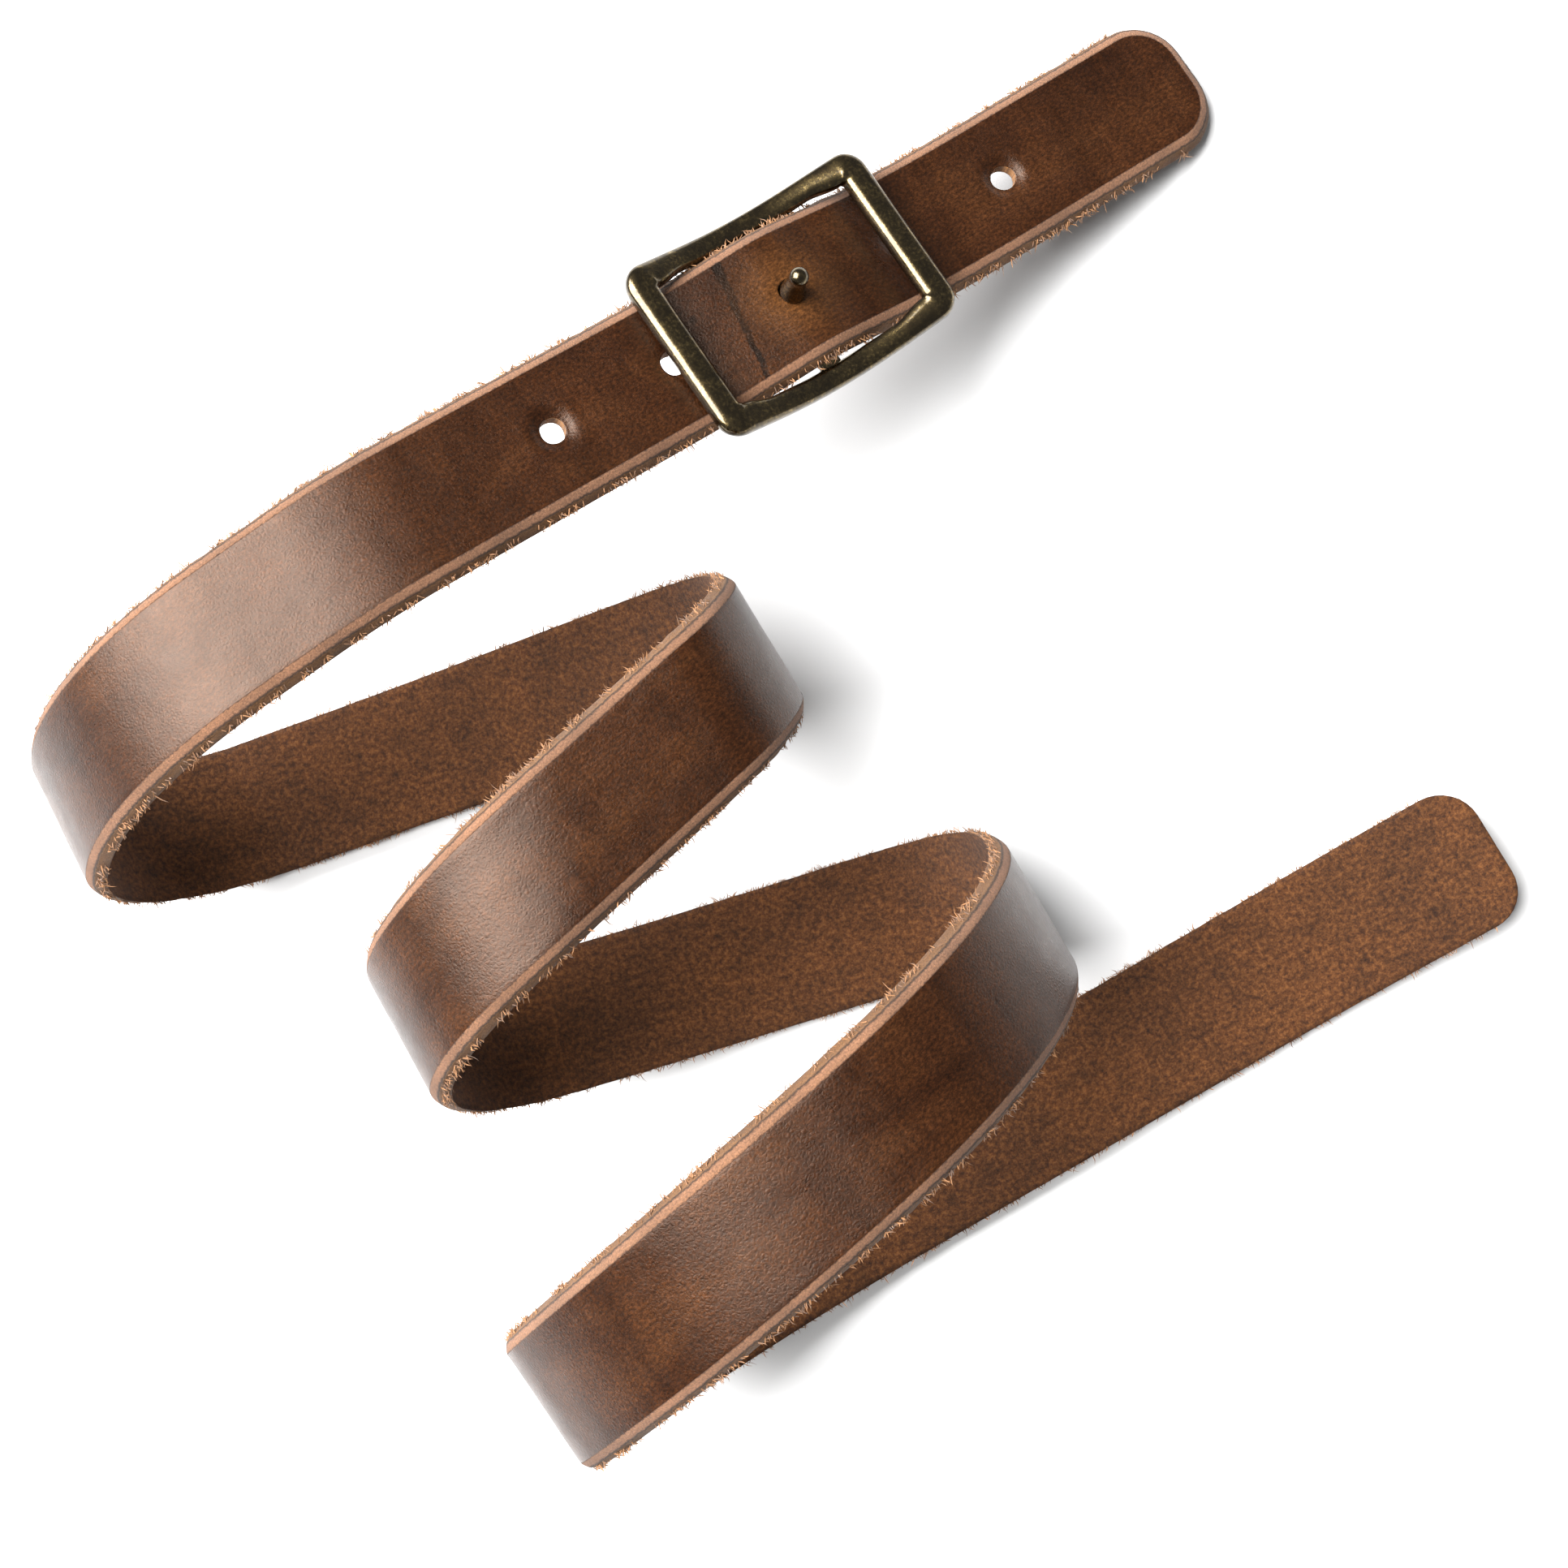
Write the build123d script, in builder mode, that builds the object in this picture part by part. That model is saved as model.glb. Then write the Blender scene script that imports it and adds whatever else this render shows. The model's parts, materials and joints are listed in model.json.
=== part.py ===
"""A thick single-ply leather belt, lying in loose coils, with a Conway buckle near its tip.

Millimetres, +Z up. The origin is on the floor, under the middle of the whole belt.
The strap is one real piece. It is cut into six sections here, one on each side of its five
bends, so that the bends can open.
"""
from build123d import *
import math
import os

os.makedirs("parts", exist_ok=True)

# ---- strap cross-section -------------------------------------------------------------------
STRAP_W = 32.0          # width on the flesh side
STRAP_T = 3.5           # thickness
GRAIN_INSET = 3.0       # how far the grain face stops short of the flesh edge, each side
SHOULDER_INSET = 1.0    # the edge bevel's lower line, in from the flesh edge
BEVEL_DROP = 1.2        # the bevel's depth below the grain face

# ---- strap holes and ends -------------------------------------------------------------------
HOLE_R = 2.75
HOLE_PITCH = 29.5
TIP_CORNER_R = 12.0
TAIL_CORNER_R = 9.0

# ---- buckle -----------------------------------------------------------------------------------
BAR_SPAN = 26.95        # centre bar to end bar, along the strap
BAR_W = 6.3             # end bar, along the strap
BAR_H = 4.4
BAR_L = 41.6            # end bar, across the strap
BAR_CORNER_R = 5.0
BAR_ROUND = 0.8         # the frame's rounded top edges
BAR_GAP = 1.3           # air between a level end bar and the strap under it
RAIL_BOW = 21.1         # the rails' outer edge at their middle, from the frame's midline
WINDOW_HALF = 16.4      # half the window's width, across the strap, between the bars
WINDOW_END = 15.2       # and next to the bars, where the rails stand above the strap's edges
WINDOW_STRAIGHT = 17.5  # half the length over which it has its full width
FRAME_ROCK = 2.0        # degrees the tail-side end bar leans down on the strap
FRAME_SHIFT = 0.2       # the strap lies this far off the frame's midline, within its hole's play
RAIL_H = 3.8
RAIL_DROP = 0.3         # the rails' middle below the centre bar's
CENTRE_BAR_W = 5.0
CENTRE_BAR_H = 3.0
CENTRE_BAR_GAP = 0.3    # air between the centre bar and the strap over it
STUD_SHANK_R = 1.5      # riveted through the centre bar
STUD_R = 2.3            # in the strap's hole
STUD_PIN_R = 1.9        # the free stretch above the strap
STUD_PIN_L = 4.3
STUD_NECK_R = 1.65
STUD_BALL_R = 1.95
STUD_HEIGHT = 8.6       # strap's grain face to the stud's tip

# ---- how the strap lies -----------------------------------------------------------------------
# Each stretch is (length or radius in mm, turn in degrees, skew at its start, skew at its end).
# A straight run has turn 0. A positive turn curls towards the flesh side. Skew is the angle
# between the crease line of the bend and the line straight across the strap.
HALF_W = STRAP_W / 2
START_X, START_Y = -107.96, -14.49    # a point on the first lower strand, flat on the floor
START_HEADING = 19.3                  # the way to the tail there, degrees from +X
START_SKEW = 28.0
SPLIT = 1.2                           # gap between two sections, along the strap
MAX_TURN = 7.0                        # degrees between two cross-sections of a bend
BUMP_TURN, BUMP_BAR_R, BUMP_TOP_R = 10.0, 30.0, 25.0   # under, over and under the buckle's bars


def run(length):
    return [("run", length, 0.0, 0.0, 0.0)]


def arc(radius, turn, skew, skew_end=None):
    return [("arc", radius, turn, skew, skew if skew_end is None else skew_end)]


def fold(radius, turn, skew, at=0.5):
    """A bend with the gap between two sections in it, at a share of its turn."""
    gap = math.degrees(SPLIT * math.cos(math.radians(skew)) / radius)
    return (arc(radius, turn * at - gap / 2, skew) + [("split", radius, gap, skew, skew)]
            + arc(radius, turn * (1 - at) - gap / 2, skew))


TO_TAIL = (
    run(9.3)
    + arc(137.5, 33.2, 36.7, 10.2) + fold(31.4, 93.0, 10.2) + arc(20.0, 38.7, 10.2, 17.3)
    + run(31.9)
    + arc(45.7, 53.0, 29.9, 11.9) + fold(35.0, 110.23, 11.9) + arc(98.6, 33.99, 11.9, 23.25)
    + run(20.8)
    + arc(109.4, 2.2, 15.3, 12.8) + fold(27.2, 74.2, 12.8, 0.9) + arc(58.0, 98.5, 12.8, 9.4)
    + run(9.1)
    + arc(79.4, 53.8, 15.2, 4.71) + fold(33.1, 102.91, 4.71) + arc(122.7, 28.47, 4.71, 12.06)
    + run(92.0) + arc(300.0, 11.5, 0.0)
)
BUMP_RUN = 19.0
TO_TIP = (
    run(13.8)
    + arc(20.0, 15.5, 17.7, 8.2) + fold(33.0, 103.0, 8.2) + arc(62.8, 64.8, 8.2, 4.0)
    + run(17.0)
    + arc(76.1, 19.5, 7.2)
    + run(62.8)
    + arc(BUMP_BAR_R, -BUMP_TURN, 0.0) + run(BUMP_RUN) + arc(BUMP_TOP_R, BUMP_TURN, 0.0)
    + [("stud", 0.0, 0.0, 0.0, 0.0)]
    + arc(BUMP_TOP_R, BUMP_TURN, 0.0) + run(BUMP_RUN) + arc(BUMP_BAR_R, -BUMP_TURN, 0.0)
    + run(8.0)
    + arc(194.6, -6.5, -7.0, -9.1)
    + run(52.9)
)


class Station:
    """A place on the strap's centreline: along points to the tail, out to the grain side."""

    def __init__(self, at, along, out, skew=0.0, s=0.0):
        self.at, self.along, self.out, self.skew, self.s = at, along, out, skew, s
        self.across = out.cross(along)

    def crease(self):
        """The direction of the line on the surface that stays straight here."""
        return self.across + self.along * math.tan(math.radians(self.skew))

    def point(self, v, n):
        return self.at + self.crease() * v + self.out * n

    def move(self, length, turn, skew, skew_next):
        """The station a short way along, turned about the crease line between the two."""
        axis = Axis((0, 0, 0), Station(self.at, self.along, self.out, skew).crease())
        half = self.along.rotate(axis, turn / 2)
        return Station(self.at + half * length, self.along.rotate(axis, turn),
                       self.out.rotate(axis, turn), skew_next, self.s + length)


def lay(start, plan, way):
    """Walks a plan from a station, way +1 to the tail or -1 to the tip.

    Returns the stretches between splits, each a list of stations, the hinge stations in the
    splits, and the stud's station.
    """
    stretches, hinges, stud, here = [[start]], [], None, start
    for kind, size, turn, skew, skew_end in plan:
        if kind == "stud":
            stud = here
            continue
        steps = 2 if kind == "split" else max(1, math.ceil(abs(turn) / MAX_TURN))
        if kind == "run":
            here = here.move(way * size, 0.0, 0.0, 0.0)
            stretches[-1].append(here)
            continue
        for i in range(steps):
            mid = skew + (skew_end - skew) * (i + 0.5) / steps
            nxt = skew + (skew_end - skew) * (i + 1) / steps
            if i == 0:
                here.skew = skew
            part = turn / steps
            length = abs(size * math.radians(part)) / math.cos(math.radians(mid))
            here = here.move(way * length, way * part, mid, nxt)
            if kind == "arc":
                stretches[-1].append(here)
            elif i == 0:
                hinges.append(here)
            else:
                stretches.append([here])
    return stretches, hinges, stud


heading = math.radians(START_HEADING)
start = Station(Vector(START_X, START_Y, STRAP_T / 2),
                Vector(math.cos(heading), math.sin(heading), 0), Vector(0, 0, -1), START_SKEW)
tail_side, tail_hinges, _ = lay(start, TO_TAIL, 1)
tip_side, tip_hinges, stud_at = lay(start, TO_TIP, -1)
middle = tip_side[0][::-1] + tail_side[0][1:]
SECTIONS = [stretch[::-1] for stretch in tip_side[:0:-1]] + [middle] + tail_side[1:]
HINGES = tip_hinges[::-1] + tail_hinges
TIP, TAIL = SECTIONS[0][0], SECTIONS[-1][-1]
# ---- solids -----------------------------------------------------------------------------------


def section_outline(station):
    """The strap's cross-section along the crease line at a station."""
    top, low = STRAP_T / 2, -STRAP_T / 2
    corners = [(HALF_W, low), (HALF_W - SHOULDER_INSET, top - BEVEL_DROP),
               (HALF_W - GRAIN_INSET, top), (-HALF_W + GRAIN_INSET, top),
               (-HALF_W + SHOULDER_INSET, top - BEVEL_DROP), (-HALF_W, low)]
    return Wire.make_polygon([station.point(v, n) for v, n in corners], close=True)


def strap_solid(stations):
    """One section of the strap: straight-sided lengths between its cross-sections."""
    return Solid.make_loft([section_outline(s) for s in stations], ruled=True)


def frame_at(station, shift=0.0):
    """A plane on the strap at a station: x to the tip, z out of the grain side."""
    return Plane(origin=station.at - station.along * shift, x_dir=-station.along,
                 z_dir=station.out)


def station_by_length(from_stud):
    """The station at a length along the strap from the stud, positive to the tip."""
    line = SECTIONS[0]
    want = stud_at.s - from_stud
    for a, b in zip(line, line[1:]):
        if a.s <= want <= b.s:
            share = (want - a.s) / (b.s - a.s)
            turn = a.out.get_angle(b.out) * share
            axis = Axis((0, 0, 0), a.across)
            sign = 1 if a.out.rotate(axis, 1).get_angle(b.out) < a.out.get_angle(b.out) else -1
            return Station(a.at + (b.at - a.at) * share, a.along.rotate(axis, sign * turn),
                           a.out.rotate(axis, sign * turn))
    raise ValueError("no such place on the first section")


def corner_cutters(station, radius, way):
    """The two corners to cut away at a strap end; way is +1 at the tip, -1 at the tail."""
    plane = frame_at(station)
    out = []
    for side in (1, -1):
        edge = side * HALF_W
        with BuildPart(mode=Mode.PRIVATE) as cutter:
            with BuildSketch(plane.offset(-4)):
                with BuildLine():
                    a = (way * 0.5, edge - side * radius)
                    b = (way * 0.5, edge + side * 0.5)
                    c = (-way * radius, edge + side * 0.5)
                    d = (-way * radius, edge)
                    e = (0, edge - side * radius)
                    mid_x = -way * radius * (1 - math.sqrt(0.5))
                    mid_y = edge - side * radius * (1 - math.sqrt(0.5))
                    Polyline(e, a, b, c, d)
                    ThreePointArc(d, (mid_x, mid_y), e)
                make_face()
            extrude(amount=8)
        out.append(cutter.part)
    return out


HOLE_PLACES = [station_by_length(k * HOLE_PITCH) for k in (2, 1, 0, -1, -2)]
STRAP_NAMES = ["strap_1_buckle_end", "strap_2_lower", "strap_3_upper",
               "strap_4_lower", "strap_5_upper", "strap_6_tail_end"]

with BuildPart() as strap_1_buckle_end:
    add(strap_solid(SECTIONS[0]))
    for place in HOLE_PLACES:
        with Locations(frame_at(place)):
            Cylinder(HOLE_R, 12, mode=Mode.SUBTRACT)
    for cut in corner_cutters(TIP, TIP_CORNER_R, 1):
        add(cut, mode=Mode.SUBTRACT)

with BuildPart() as strap_2_lower:
    add(strap_solid(SECTIONS[1]))

with BuildPart() as strap_3_upper:
    add(strap_solid(SECTIONS[2]))

with BuildPart() as strap_4_lower:
    add(strap_solid(SECTIONS[3]))

with BuildPart() as strap_5_upper:
    add(strap_solid(SECTIONS[4]))

with BuildPart() as strap_6_tail_end:
    add(strap_solid(SECTIONS[5]))
    for cut in corner_cutters(TAIL, TAIL_CORNER_R, -1):
        add(cut, mode=Mode.SUBTRACT)

# ---- buckle: heights from the strap's mid-thickness at the stud --------------------------------
BUMP_H = 3.9            # how far the centre bar lifts the strap above its line under the end bars
BAR_BOTTOM = -BUMP_H + STRAP_T / 2 + BAR_GAP
BAR_MID = BAR_BOTTOM + BAR_H / 2
CENTRE_TOP = -STRAP_T / 2 - CENTRE_BAR_GAP
CENTRE_MID = CENTRE_TOP - CENTRE_BAR_H / 2
buckle_plane = frame_at(stud_at)
buckle_plane = Plane(origin=stud_at.at - buckle_plane.y_dir * FRAME_SHIFT,
                     x_dir=buckle_plane.x_dir, z_dir=buckle_plane.z_dir)
buckle_place = (buckle_plane.location * Pos(0, 0, CENTRE_MID) * Rot(0, -FRAME_ROCK, 0)
                * Pos(0, 0, -CENTRE_MID))
WINDOW_X = BAR_SPAN - BAR_W / 2             # half the frame's window, along the strap
OUTER_X = BAR_SPAN + BAR_W / 2

# A rectangular ring whose side rails bow outwards, cut to a side profile that is level over
# the two end bars and sags between them to the height of the centre bar.
with BuildPart() as flat_frame:
    with BuildSketch(Plane.XY.offset(CENTRE_MID - BAR_H)):
        with BuildLine():
            Line((OUTER_X, -BAR_L / 2), (OUTER_X, BAR_L / 2))
            ThreePointArc((OUTER_X, BAR_L / 2), (0, RAIL_BOW), (-OUTER_X, BAR_L / 2))
            Line((-OUTER_X, BAR_L / 2), (-OUTER_X, -BAR_L / 2))
            ThreePointArc((-OUTER_X, -BAR_L / 2), (0, -RAIL_BOW), (OUTER_X, -BAR_L / 2))
        make_face()
        fillet(vertices(), BAR_CORNER_R)
        x, a, b = WINDOW_X, WINDOW_STRAIGHT, WINDOW_HALF
        with BuildSketch(mode=Mode.SUBTRACT):
            Polygon((x, WINDOW_END), (a, b), (-a, b), (-x, WINDOW_END),
                    (-x, -WINDOW_END), (-a, -b), (a, -b), (x, -WINDOW_END), align=None)
    extrude(amount=4 * BAR_H)
    with BuildSketch(Plane.XZ.offset(-BAR_L)):
        with BuildLine():
            top, low = BAR_BOTTOM + BAR_H, BAR_BOTTOM
            rail_mid = CENTRE_MID - RAIL_DROP
            sag_top, sag_low = rail_mid + RAIL_H / 2, rail_mid - RAIL_H / 2
            Line((-OUTER_X - 1, top), (-WINDOW_X, top))
            ThreePointArc((-WINDOW_X, top), (0, sag_top), (WINDOW_X, top))
            Polyline((WINDOW_X, top), (OUTER_X + 1, top), (OUTER_X + 1, low), (WINDOW_X, low))
            ThreePointArc((WINDOW_X, low), (0, sag_low), (-WINDOW_X, low))
            Polyline((-WINDOW_X, low), (-OUTER_X - 1, low), (-OUTER_X - 1, top))
        make_face()
    extrude(amount=2 * BAR_L, mode=Mode.INTERSECT)
    long_edges = edges().filter_by(Axis.Y).filter_by(lambda e: e.length > BAR_L / 2)
    fillet(long_edges.filter_by_position(Axis.Z, BAR_BOTTOM + BAR_H - 0.1, BAR_H), BAR_ROUND)
    with Locations((0, 0, CENTRE_MID)):
        Box(CENTRE_BAR_W, 2 * (WINDOW_HALF + 1.0), CENTRE_BAR_H)
        Cylinder(STUD_SHANK_R + 0.05, 3 * CENTRE_BAR_H, mode=Mode.SUBTRACT)

with BuildPart() as buckle_frame:
    add(flat_frame.part.moved(buckle_place))

with BuildPart() as flat_stud:
    top = STRAP_T / 2
    under = CENTRE_TOP - CENTRE_BAR_H
    tip_z = top + STUD_HEIGHT
    ball_z = tip_z - STUD_BALL_R
    join = math.sqrt(STUD_BALL_R ** 2 - STUD_NECK_R ** 2)
    with BuildSketch(Plane.XZ):
        with BuildLine():
            Polyline((0, tip_z), (0, under - 0.8), (2.4, under - 0.8), (2.6, under - 0.5),
                     (2.6, under), (STUD_SHANK_R, under), (STUD_SHANK_R, CENTRE_TOP),
                     (STUD_R, CENTRE_TOP), (STUD_R, top + 0.2), (STUD_PIN_R, top + 0.3),
                     (STUD_PIN_R, top + 0.3 + STUD_PIN_L), (STUD_NECK_R, ball_z - join))
            ThreePointArc((STUD_NECK_R, ball_z - join), (STUD_BALL_R, ball_z), (0, tip_z))
        make_face()
    revolve(axis=Axis.Z)

with BuildPart() as buckle_stud:
    add(flat_stud.part.moved(buckle_place))

for name, part in zip(STRAP_NAMES, (strap_1_buckle_end, strap_2_lower, strap_3_upper,
                                    strap_4_lower, strap_5_upper, strap_6_tail_end)):
    part.part.label = name
    export_step(part.part, f"parts/{name}.step")
buckle_frame.part.label = "buckle_frame"
export_step(buckle_frame.part, "parts/buckle_frame.step")
buckle_stud.part.label = "buckle_stud"
export_step(buckle_stud.part, "parts/buckle_stud.step")
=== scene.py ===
"""A thick leather belt lying in loose coils, with an antique brass Conway buckle.

The strap is laid along the same path as the CAD strap, as finer and softer meshes. It is worked
out flat first: u runs along the strap from tip to tail, v across it, n out of its grain side,
all in millimetres, and place() bends that flat strip into the coil.
"""

import json
import math
import random

import bpy
import numpy as np
from mathutils import Matrix, Vector
from mathutils.noise import noise


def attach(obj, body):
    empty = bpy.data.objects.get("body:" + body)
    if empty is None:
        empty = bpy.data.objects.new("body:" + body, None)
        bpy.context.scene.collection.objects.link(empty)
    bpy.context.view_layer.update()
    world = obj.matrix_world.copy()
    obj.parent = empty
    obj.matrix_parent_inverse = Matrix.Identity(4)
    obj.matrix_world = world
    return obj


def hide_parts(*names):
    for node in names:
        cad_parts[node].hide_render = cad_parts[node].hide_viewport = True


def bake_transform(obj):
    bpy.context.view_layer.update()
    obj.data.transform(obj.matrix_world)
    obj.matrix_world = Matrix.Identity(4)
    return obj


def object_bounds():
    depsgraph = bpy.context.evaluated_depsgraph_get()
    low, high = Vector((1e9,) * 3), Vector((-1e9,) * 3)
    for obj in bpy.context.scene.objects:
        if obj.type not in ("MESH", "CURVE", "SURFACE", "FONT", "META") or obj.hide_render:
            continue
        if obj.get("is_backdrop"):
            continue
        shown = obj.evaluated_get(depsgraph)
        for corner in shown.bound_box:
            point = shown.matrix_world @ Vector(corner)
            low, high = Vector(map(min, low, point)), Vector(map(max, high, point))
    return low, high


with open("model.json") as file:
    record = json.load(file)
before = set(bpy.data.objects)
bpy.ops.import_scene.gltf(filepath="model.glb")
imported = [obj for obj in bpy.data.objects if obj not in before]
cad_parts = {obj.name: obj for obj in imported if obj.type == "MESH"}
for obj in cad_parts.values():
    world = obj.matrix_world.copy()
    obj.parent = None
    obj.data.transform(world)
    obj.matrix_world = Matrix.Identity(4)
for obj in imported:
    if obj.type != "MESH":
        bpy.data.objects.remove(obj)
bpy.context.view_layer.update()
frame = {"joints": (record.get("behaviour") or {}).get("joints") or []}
random.seed(7)
MM = 0.001

# ---- driving dimensions, the same as the CAD strap's, mm and degrees ---------------------------
HALF_W, HALF_T = 16.0, 1.75
TIP_R, TAIL_R = 12.0, 9.0              # the strap's rounded corners at its two ends
HOLE_R, HOLE_PITCH = 2.75, 29.5
START, HEADING, START_SKEW = (-107.96, -14.49, HALF_T), 19.3, 28.0
STEP, STEP_TURN = 1.2, 1.6             # longest step along the strap, mm and degrees
SQUARING = 1.7                         # how much faster than evenly the last run's creases turn square


def run(length):
    """A straight stretch of the path, mm."""
    return ("run", length, 0.0, 0.0, 0.0)


def arc(radius, turn, skew, skew_end=None):
    """A bend: its radius in mm, its turn in degrees, and its creases' skew at its start and end."""
    return ("arc", radius, turn, skew, skew if skew_end is None else skew_end)


def fold(radius, turn, skew, at=0.5):
    """A bend of even skew, with a joint's hinge inside it."""
    return [arc(radius, turn * at, skew), ("hinge",), arc(radius, turn * (1 - at), skew)]


# the path from START, the same as part.py's. Its numbers come from a fit.
TO_TAIL = [
    run(9.3),
    arc(137.5, 33.2, 36.7, 10.2), *fold(31.4, 93.0, 10.2), arc(20.0, 38.7, 10.2, 17.3),
    run(31.9),
    arc(45.7, 53.0, 29.9, 11.9), *fold(35.0, 110.23, 11.9), arc(98.6, 33.99, 11.9, 23.25),
    run(20.8),
    arc(109.4, 2.2, 15.3, 12.8), *fold(27.2, 74.2, 12.8, 0.9), arc(58.0, 98.5, 12.8, 9.4),
    run(9.1),
    arc(79.4, 53.8, 15.2, 4.71), *fold(33.1, 102.91, 4.71), arc(122.7, 28.47, 4.71, 12.06),
    run(92.0), arc(300.0, 11.5, 0.0),
]
TO_TIP = [
    run(13.8),
    arc(20.0, 15.5, 17.7, 8.2), *fold(33.0, 103.0, 8.2), arc(62.8, 64.8, 8.2, 4.0),
    run(17.0), arc(76.1, 19.5, 7.2), run(62.8),
    arc(30, -10, 0), run(19), arc(25, 10, 0), ("stud",), arc(25, 10, 0), run(19),
    arc(30, -10, 0), run(8.0), arc(194.6, -6.5, -7.0, -9.1), run(52.9),
]


def turned(v, axis, degrees):
    """v turned about a unit axis."""
    a, c, s = axis, math.cos(math.radians(degrees)), math.sin(math.radians(degrees))
    return v * c + np.cross(a, v) * s + a * (a @ v) * (1 - c)


def unit(v):
    v = np.asarray(v, float)
    return v / np.linalg.norm(v, axis=-1, keepdims=True)


def walk(plan, way):
    """Steps along a plan from the start: rows of (s, at, along, out, tan skew), and marks."""
    h = math.radians(HEADING)
    at, along, out = np.array(START), np.array([math.cos(h), math.sin(h), 0]), np.array([0, 0, -1.0])
    s, rows, marks = 0.0, [], []
    rows.append([0.0, at, along, out, math.tan(math.radians(START_SKEW))])
    for i, piece in enumerate(plan):
        if piece[0] in ("hinge", "stud"):
            marks.append((piece[0], s))
            continue
        kind, size, turn, k0, k1 = piece
        if kind == "run":
            ahead = [p for p in plan[i + 1:] if p[0] == "arc"]
            k0, k1 = math.degrees(math.atan(rows[-1][4])), ahead[0][3] if ahead else 0.0
        length = size if kind == "run" else abs(size * math.radians(turn))
        steps = max(1, math.ceil(length / STEP), math.ceil(abs(turn) / STEP_TURN))
        for j in range(steps):
            mid = k0 + (k1 - k0) * (j + 0.5) / steps
            if kind == "run":
                at, ds = at + along * way * length / steps, length / steps
            else:
                tan = math.tan(math.radians(mid))
                axis = unit(np.cross(out, along) + along * tan)
                ds = length / steps / math.cos(math.radians(mid))
                part = way * turn / steps
                at = at + turned(along, axis, part / 2) * way * ds
                along, out = turned(along, axis, part), turned(out, axis, part)
            s += ds
            share = (j + 1) / steps
            if not [p for p in plan[i + 1:] if p[0] == "arc"] and kind == "run":
                share = min(1.0, share * SQUARING)
            rows.append([way * s, at, along, out, math.tan(math.radians(k0 + (k1 - k0) * share))])
    return rows, [(m, way * x) for m, x in marks]


tail_rows, tail_marks = walk(TO_TAIL, 1)
tip_rows, tip_marks = walk(TO_TIP, -1)
rows = tip_rows[:0:-1] + tail_rows
S = np.array([r[0] for r in rows])
S0 = S[0]
S = S - S0
AT, ALONG, OUT = (np.array([r[i] for r in rows]) for i in (1, 2, 3))
TAN = np.array([r[4] for r in rows])
HINGE_S = sorted(x - S0 for m, x in tip_marks + tail_marks if m == "hinge")
STUD_S = next(x - S0 for m, x in tip_marks if m == "stud")
LENGTH = S[-1]


def frames(sigma):
    """Centre, along, out, across and crease direction at lengths along the strap."""
    def look(table):
        return np.stack([np.interp(sigma, S, table[:, k]) for k in range(3)], -1)

    at, along, out = look(AT), unit(look(ALONG)), unit(look(OUT))
    across = unit(np.cross(out, along))
    return at, along, out, across, across + along * np.interp(sigma, S, TAN)[..., None]


def place(u, v, n):
    """Flat strap coordinates in mm to places in the coil, in metres."""
    u, v, n = (np.asarray(x, float) for x in (u, v, n))
    sigma = u - v * np.interp(u, S, TAN)
    for _ in range(4):
        sigma = u - v * np.interp(sigma, S, TAN)
    at, _, out, _, crease = frames(sigma)
    return (at + crease * v[..., None] + out * n[..., None]) * MM


def smooth(x):
    x = np.clip(x, 0, 1)
    return x * x * (3 - 2 * x)


# ---- strap cross-section -------------------------------------------------------------------------
PATCH = 6.5                # half the side of the square patch left open round a hole
SIDE_COLS = 7              # columns from a patch's side to the strap's edge
GRAIN_INSET, FLESH_INSET = 3.1, 0.1      # the outermost columns, from the strap's sides
mid_v = np.arange(1 - PATCH, PATCH - 0.9, 1.0)


def columns(outermost):
    side_v = np.linspace(PATCH, outermost, SIDE_COLS)
    return np.concatenate([-side_v[::-1], mid_v, side_v])


GRAIN_V, FLESH_V = columns(HALF_W - GRAIN_INSET), columns(HALF_W - FLESH_INSET)
COLS = len(GRAIN_V)
# the edge from the grain face down to the flesh face: (inset from the flesh edge, n)
EDGE = [(2.85, 1.70), (2.5, 1.56), (1.9, 1.22), (1.35, 0.86), (1.0, 0.58), (0.86, 0.30),
        (0.62, -0.05), (0.36, -0.50), (0.14, -0.98), (0.02, -1.38)]
EDGE_Q = np.cumsum([0.0] + [math.dist(a, b) for a, b in zip([(GRAIN_INSET, HALF_T)] + EDGE, EDGE)])[1:]
EDGE_DEPTH = [0.0, *EDGE_Q, EDGE_Q[-1] + 0.4]     # down the edge, with both faces' rims
WINDOW = range(SIDE_COLS - 1, COLS - SIDE_COLS + 1)   # the columns that a patch spans
HOLES = [STUD_S - k * HOLE_PITCH for k in (2, 1, 0, -1, -2)]


def rough(u, q, size, seed):
    """Smooth noise from about -1 to 1, with lumps of a size in mm."""
    return noise(Vector((u / size, q / size, seed)))


class Strip:
    """Collects one closed surface as points in flat coordinates, with faces and texture places."""

    def __init__(self):
        self.flat, self.faces, self.kind, self.uv, self.row = [], [], [], [], []

    def add(self, u, v, n, row):
        self.flat.append((u, v, n))
        self.row.append(row)
        return len(self.flat) - 1

    def quad(self, ids, kind, uvs):
        """Adds a face, given clockwise from outside. kind is its place in LEATHER."""
        if len(set(ids)) > 2:
            self.faces.append(tuple(ids[::-1]))
            self.kind.append(kind)
            self.uv.append(uvs[::-1])


# rows of the regular grid, between the two rounded ends
first = int(np.searchsorted(S, TIP_R + 0.6))
last = int(np.searchsorted(S, LENGTH - TAIL_R - 0.6)) - 1
row_s = S[first:last + 1].copy()
row_s[0], row_s[-1] = TIP_R, LENGTH - TAIL_R
for h in HOLES:                                    # a row on each side of every hole's patch
    for edge in (h - PATCH, h + PATCH):
        row_s[int(np.argmin(abs(row_s - edge)))] = edge
row_s = np.sort(row_s)
row_tan = np.interp(row_s, S, TAN)
ROWS = len(row_s)

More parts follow.
